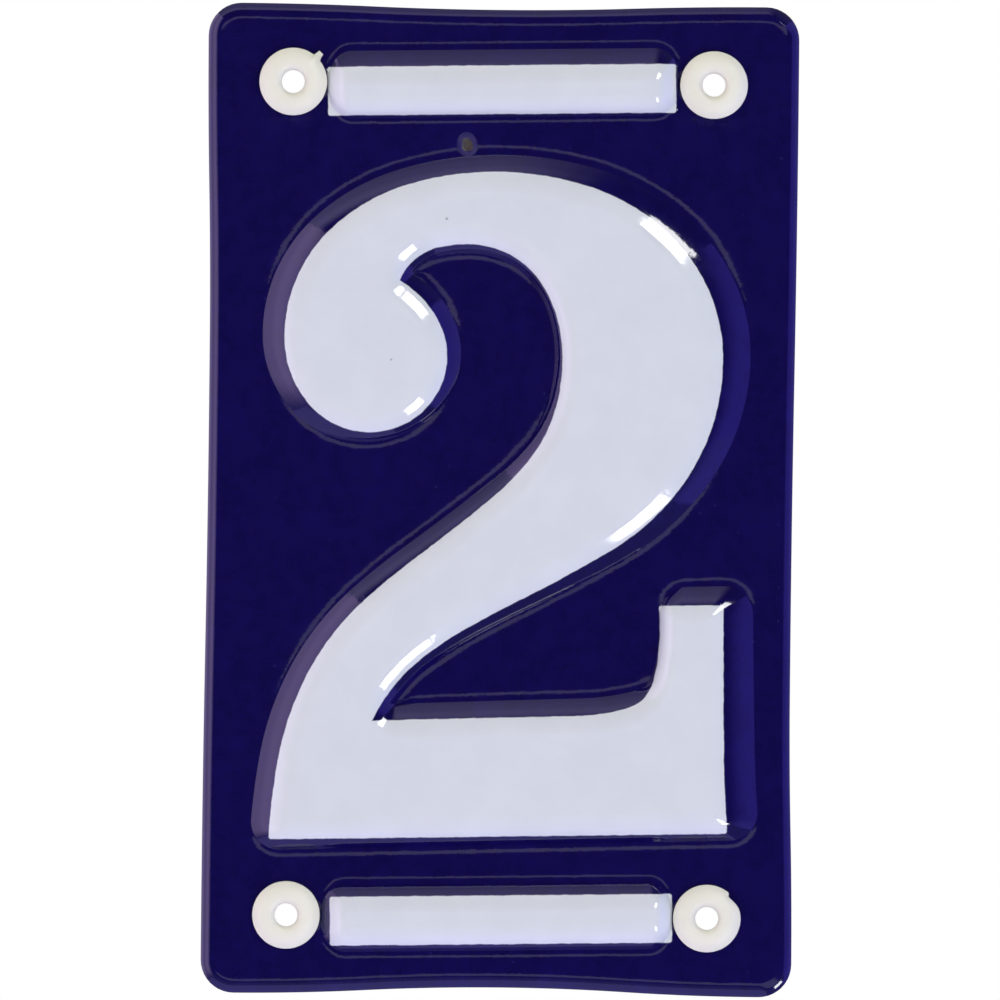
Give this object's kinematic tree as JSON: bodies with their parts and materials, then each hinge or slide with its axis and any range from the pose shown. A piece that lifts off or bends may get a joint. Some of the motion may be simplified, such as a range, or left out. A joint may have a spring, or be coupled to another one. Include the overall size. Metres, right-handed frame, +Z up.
{
  "type": "house number plaque",
  "caption": "Upright pressed steel house number plate, enamelled blue, with a raised white numeral between raised white bars and a plastic screw bush in each corner.",
  "frame": {"origin": "middle of the four screw holes, on the front of the flat ground that the bush heads sit on", "axes": "+Z up as the plate hangs, -Y out of the front, +Y into the wall, +X to the right seen from the front"},
  "size_m": [0.0716, 0.006, 0.12],
  "materials": {
    "enamel": "glossy vitreous enamel, cobalt blue with a white relief",
    "bush": "semi-gloss moulded white"
  },
  "bodies": {
    "root": {"enamelled_plate": "enamel", "bush_top_left": "bush", "bush_top_right": "bush", "bush_bottom_left": "bush", "bush_bottom_right": "bush"}
  },
  "joints": []
}
